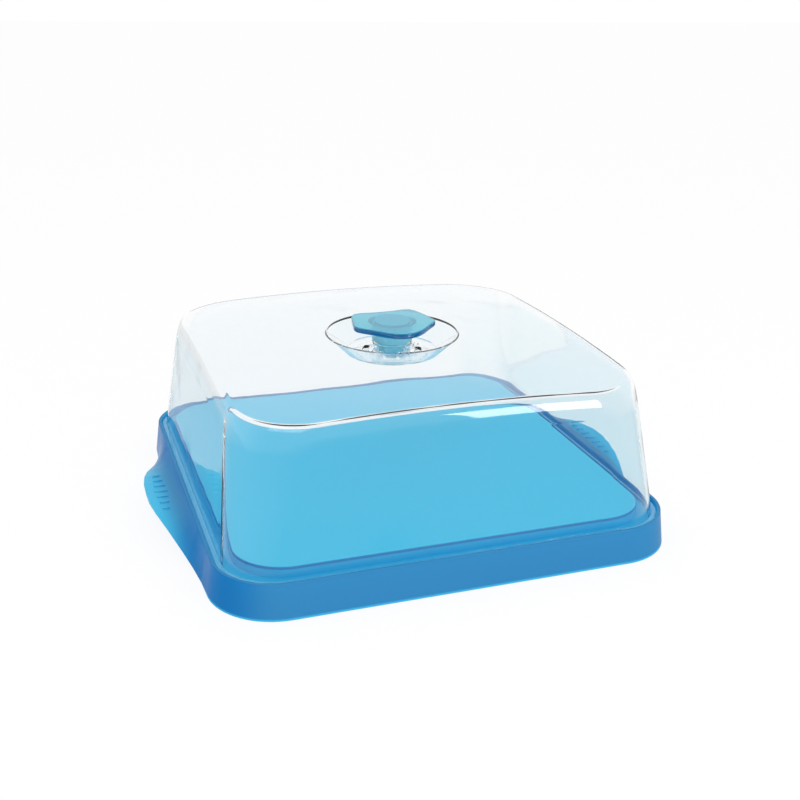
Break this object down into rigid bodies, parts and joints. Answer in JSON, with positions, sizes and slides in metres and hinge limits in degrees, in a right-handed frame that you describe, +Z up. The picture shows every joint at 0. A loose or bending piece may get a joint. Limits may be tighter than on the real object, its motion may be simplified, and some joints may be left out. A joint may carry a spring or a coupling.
{
  "type": "cheese storage container",
  "caption": "Square cheese keeper: tinted tray with two grip wings, clear dome lid that lifts off, and a turn knob in a round recess that opens a vent.",
  "frame": {"origin": "on the table plane, under the middle of the tray", "axes": "+X towards the right-hand grip wing, +Y towards the back, +Z up along the knob's axis"},
  "size_m": [0.3014, 0.2652, 0.11],
  "materials": {
    "tinted_tray": "glossy see-through blue moulded plastic",
    "clear_lid": "glossy water-clear moulded plastic",
    "tinted_knob": "glossy see-through blue moulded plastic",
    "clear_shutter": "glossy water-clear moulded plastic"
  },
  "bodies": {
    "tray": {"tray": "tinted_tray"},
    "lid": {"dome_lid": "clear_lid"},
    "knob": {"vent_knob": "tinted_knob", "vent_shutter": "clear_shutter"}
  },
  "joints": [
    {"name": "lid_lift", "type": "slide", "parent": "tray", "child": "lid", "axis": [0, 0, 1], "range_m": [0, 0.13]},
    {"name": "vent_turn", "type": "hinge", "parent": "lid", "child": "knob", "pos_m": [0, 0, 0.1], "axis": [0, 0, 1], "range_deg": [0, 45]}
  ]
}
